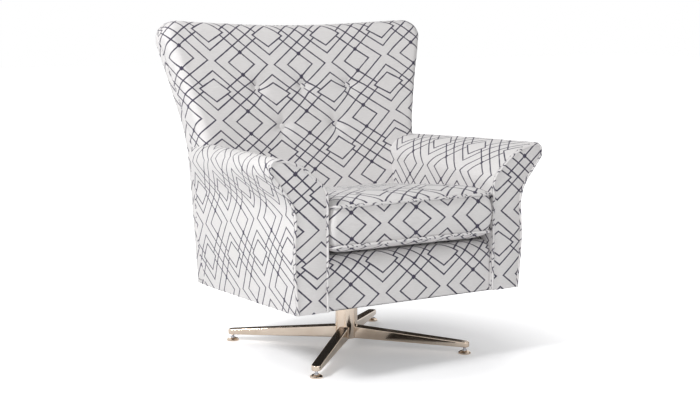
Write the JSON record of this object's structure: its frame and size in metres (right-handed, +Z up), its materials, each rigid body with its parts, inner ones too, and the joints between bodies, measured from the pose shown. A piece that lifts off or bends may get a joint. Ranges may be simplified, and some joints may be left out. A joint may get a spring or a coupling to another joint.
{
  "type": "swivel armchair",
  "caption": "Upholstered armchair with out-curled arms, a buttoned back and a loose box cushion, turning on a four-legged pedestal with levelling feet.",
  "frame": {"origin": "on the floor, on the swivel axis", "axes": "+Z up, the seat faces -Y, +X to the viewer's right"},
  "size_m": [0.868, 0.7008, 0.9373],
  "materials": {
    "chrome": "bright chrome plate",
    "steel": "zinc plated",
    "nylon": "natural moulded",
    "beech": "planed, unvarnished",
    "foam": "open cell foam with a fibre wrap",
    "cover_fabric": "pale woven cloth with a thin dark blue trellis",
    "webbing": "woven elastic straps",
    "black_cambric": "thin black lining cloth"
  },
  "bodies": {
    "base": {"column_tube": "chrome", "foot_inserts": "steel", "upper_bush": "nylon", "lower_bush": "nylon", "lower_race": "steel", "column_plug": "nylon", "front_left_leg": "chrome", "front_right_leg": "chrome", "rear_right_leg": "chrome", "rear_left_leg": "chrome"},
    "ball_set": {"bearing_balls": "steel", "ball_cage": "nylon"},
    "seat_cushion": {"cushion_core": "foam", "cushion_cover": "cover_fabric", "cushion_piping": "cover_fabric"},
    "front_left_foot": {"front_left_foot_pad": "chrome", "front_left_foot_stem": "steel"},
    "front_right_foot": {"front_right_foot_pad": "chrome", "front_right_foot_stem": "steel"},
    "rear_right_foot": {"rear_right_foot_pad": "chrome", "rear_right_foot_stem": "steel"},
    "rear_left_foot": {"rear_left_foot_pad": "chrome", "rear_left_foot_stem": "steel"},
    "seat": {"spindle": "steel", "upper_race": "steel", "thrust_washer": "steel", "circlip": "steel", "swivel_plate": "steel", "plate_bolts": "steel", "seat_springs": "steel", "spring_clips": "steel", "plate_rails": "beech", "front_rail": "beech", "rear_rail": "beech", "corner_blocks": "beech", "back_top_rail": "beech", "back_lower_rail": "beech", "left_side_rail": "beech", "left_arm_post": "beech", "left_arm_rail": "beech", "left_back_post": "beech", "right_side_rail": "beech", "right_arm_post": "beech", "right_arm_rail": "beech", "right_back_post": "beech", "left_arm_padding": "foam", "right_arm_padding": "foam", "back_padding": "foam", "front_border_padding": "foam", "seat_platform": "foam", "left_arm_cover": "cover_fabric", "right_arm_cover": "cover_fabric", "inside_back_cover": "cover_fabric", "outside_back_cover": "cover_fabric", "front_border_cover": "cover_fabric", "back_buttons": "cover_fabric", "cover_piping": "cover_fabric", "back_webbing": "webbing", "dust_cover": "black_cambric"}
  },
  "joints": [
    {"name": "seat_swivel", "type": "hinge", "parent": "base", "child": "seat", "pos_m": [0, 0, 0.198], "axis": [0, 0, 1], "continuous": true},
    {"name": "ball_set_spin", "type": "hinge", "parent": "base", "child": "ball_set", "pos_m": [0, 0, 0.198], "axis": [0, 0, 1], "continuous": true},
    {"name": "seat_cushion_lift", "type": "slide", "parent": "seat", "child": "seat_cushion", "axis": [0, 0, 1], "range_m": [0, 0.3]},
    {"name": "front_left_foot_slide", "type": "slide", "parent": "base", "child": "front_left_foot", "axis": [0, 0, 1], "range_m": [0, 0.00625]},
    {"name": "front_right_foot_slide", "type": "slide", "parent": "base", "child": "front_right_foot", "axis": [0, 0, 1], "range_m": [0, 0.00625]},
    {"name": "rear_right_foot_slide", "type": "slide", "parent": "base", "child": "rear_right_foot", "axis": [0, 0, 1], "range_m": [0, 0.00625]},
    {"name": "rear_left_foot_slide", "type": "slide", "parent": "base", "child": "rear_left_foot", "axis": [0, 0, 1], "range_m": [0, 0.00625]}
  ]
}
